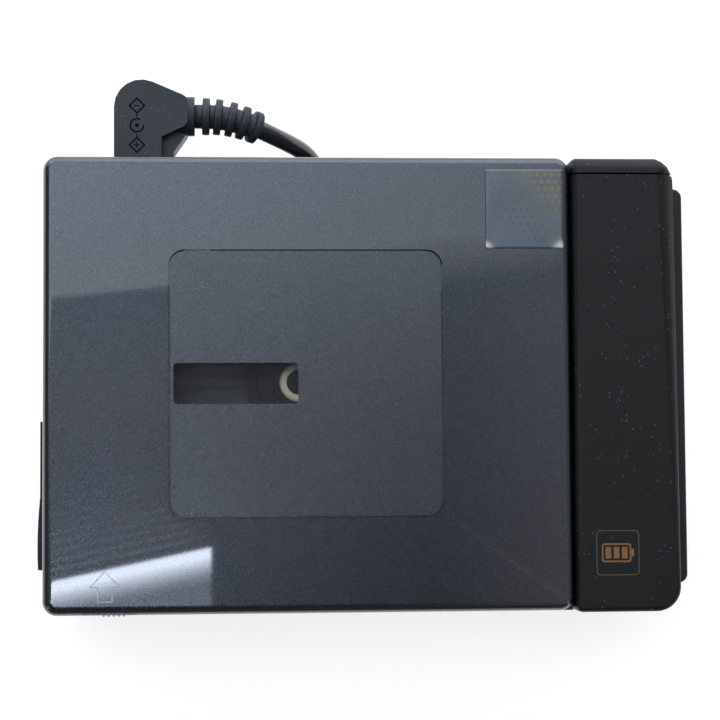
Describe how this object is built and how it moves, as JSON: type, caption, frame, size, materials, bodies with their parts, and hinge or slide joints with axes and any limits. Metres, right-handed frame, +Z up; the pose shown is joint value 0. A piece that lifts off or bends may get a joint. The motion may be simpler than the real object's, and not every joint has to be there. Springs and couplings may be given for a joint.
{
  "type": "portable minidisc player",
  "caption": "Portable disc player with a rear-hinged lid, viewing slot, side battery grip, and a clip-on dry cell case underneath whose short lead plugs into the rear.",
  "frame": {"origin": "on the face that the dry cell case rests on, under the middle of the player", "axes": "+X towards the battery grip at the player's right, +Y to the rear with the hinge and sockets, +Z up"},
  "size_m": [0.1166, 0.0967, 0.0445],
  "materials": {
    "lid_metal": "glossy clear-coated dark blue-grey metallic",
    "panel_metal": "satin dark blue-grey metallic",
    "window_clear": "clear polished",
    "body_plastic": "satin dark grey",
    "black_plastic": "matt black with fine grain",
    "case_plastic": "matt black with fine grain",
    "button_plastic": "semi-gloss black",
    "plug_plastic": "matt dark grey",
    "lead_rubber": "glossy black",
    "damper_rubber": "matt black",
    "sheet_steel": "zinc-plated sheet",
    "bright_steel": "polished",
    "spring_steel": "plain",
    "contact_metal": "plated",
    "ring_plastic": "off-white",
    "sled_metal": "cast grey",
    "lens_glass": "coated",
    "board_laminate": "solder resist",
    "chip_plastic": "moulded",
    "pack_plastic": "satin sleeve",
    "cell_jacket": "satin jacket on a steel can"
  },
  "bodies": {
    "chassis": {"main_case": "body_plastic", "front_panel": "body_plastic", "bottom_cover": "black_plastic", "cover_screws": "bright_steel", "hinge_pins": "bright_steel", "lid_spring": "spring_steel", "deck_plate": "sheet_steel", "deck_dampers": "damper_rubber", "spindle_motor": "bright_steel", "guide_rod": "bright_steel", "sled_motor": "bright_steel", "main_board": "board_laminate", "board_chips": "chip_plastic", "key_board": "board_laminate", "key_switches": "contact_metal", "phones_jack": "chip_plastic", "line_jack": "chip_plastic", "dc_jack": "chip_plastic", "grip_housing": "black_plastic", "cap_pins": "bright_steel", "battery_pack": "pack_plastic", "battery_contacts": "contact_metal", "case_shell": "case_plastic", "latch_pins": "bright_steel", "dry_cells": "cell_jacket", "cell_contacts": "contact_metal", "lead_gland": "plug_plastic", "dc_lead": "lead_rubber", "plug_body": "plug_plastic", "plug_boot": "plug_plastic", "plug_tip": "bright_steel"},
    "lid": {"lid_shell": "lid_metal", "window_panel": "panel_metal", "window_pane": "window_clear", "disc_holder": "sheet_steel", "holder_springs": "spring_steel", "lid_hook": "sheet_steel"},
    "turntable": {"turntable": "chip_plastic", "centring_ring": "ring_plastic"},
    "sled": {"pickup_sled": "sled_metal", "objective_lens": "lens_glass"},
    "lead_screw": {"lead_screw": "bright_steel"},
    "play_button": {"play_button": "button_plastic"},
    "stop_button": {"stop_button": "button_plastic"},
    "back_button": {"back_button": "button_plastic"},
    "forward_button": {"forward_button": "button_plastic"},
    "volume_down_button": {"volume_down_button": "button_plastic"},
    "volume_up_button": {"volume_up_button": "button_plastic"},
    "open_slider": {"open_slider": "button_plastic"},
    "hold_slider": {"hold_slider": "button_plastic"},
    "tone_slider": {"tone_slider": "button_plastic"},
    "battery_cap": {"battery_cap": "black_plastic"},
    "case_door": {"case_door": "case_plastic"},
    "case_latch": {"case_latch": "case_plastic"}
  },
  "joints": [
    {"name": "lid_hinge", "type": "hinge", "parent": "chassis", "child": "lid", "pos_m": [-0.00942, 0.0382, 0.0363], "axis": [-1, 0, 0], "range_deg": [0, 45]},
    {"name": "turntable_spin", "type": "hinge", "parent": "chassis", "child": "turntable", "pos_m": [-0.01082, 0.0007, 0.029], "axis": [0, 0, 1], "continuous": true},
    {"name": "sled_travel", "type": "slide", "parent": "chassis", "child": "sled", "axis": [1, 0, 0], "range_m": [0, 0.013]},
    {"name": "screw_spin", "type": "hinge", "parent": "chassis", "child": "lead_screw", "pos_m": [0.00918, -0.0068, 0.026], "axis": [1, 0, 0], "range_deg": [0, 1600]},
    {"name": "play_press", "type": "slide", "parent": "chassis", "child": "play_button", "axis": [0, 1, 0], "range_m": [0, 0.0006], "stiffness_N_per_m": 600, "springref_m": -0.0008},
    {"name": "stop_press", "type": "slide", "parent": "chassis", "child": "stop_button", "axis": [0, 1, 0], "range_m": [0, 0.0006], "stiffness_N_per_m": 600, "springref_m": -0.0008},
    {"name": "back_press", "type": "slide", "parent": "chassis", "child": "back_button", "axis": [0, 1, 0], "range_m": [0, 0.0006], "stiffness_N_per_m": 600, "springref_m": -0.0008},
    {"name": "forward_press", "type": "slide", "parent": "chassis", "child": "forward_button", "axis": [0, 1, 0], "range_m": [0, 0.0006], "stiffness_N_per_m": 600, "springref_m": -0.0008},
    {"name": "volume_down_press", "type": "slide", "parent": "chassis", "child": "volume_down_button", "axis": [0, 1, 0], "range_m": [0, 0.0006], "stiffness_N_per_m": 600, "springref_m": -0.0008},
    {"name": "volume_up_press", "type": "slide", "parent": "chassis", "child": "volume_up_button", "axis": [0, 1, 0], "range_m": [0, 0.0006], "stiffness_N_per_m": 600, "springref_m": -0.0008},
    {"name": "open_slide", "type": "slide", "parent": "chassis", "child": "open_slider", "axis": [1, 0, 0], "range_m": [0, 0.003], "stiffness_N_per_m": 150, "springref_m": -0.002},
    {"name": "hold_slide", "type": "slide", "parent": "chassis", "child": "hold_slider", "axis": [1, 0, 0], "range_m": [0, 0.002]},
    {"name": "tone_slide", "type": "slide", "parent": "chassis", "child": "tone_slider", "axis": [1, 0, 0], "range_m": [0, 0.002]},
    {"name": "cap_hinge", "type": "hinge", "parent": "chassis", "child": "battery_cap", "pos_m": [0.04595, 0.0384, 0.0195], "axis": [-1, 0, 0], "range_deg": [0, 90]},
    {"name": "door_slide", "type": "slide", "parent": "chassis", "child": "case_door", "axis": [0, -1, 0], "range_m": [0, 0.012]},
    {"name": "latch_flex", "type": "hinge", "parent": "chassis", "child": "case_latch", "pos_m": [-0.05645, -0.02, 0.005], "axis": [0, -1, 0], "range_deg": [0, 8], "stiffness_Nm_per_rad": 0.05, "springref_deg": -5.73}
  ],
  "couplings": [
    {"joint": "screw_spin", "follows": "sled_travel", "rad_per_m": 2094.4}
  ]
}
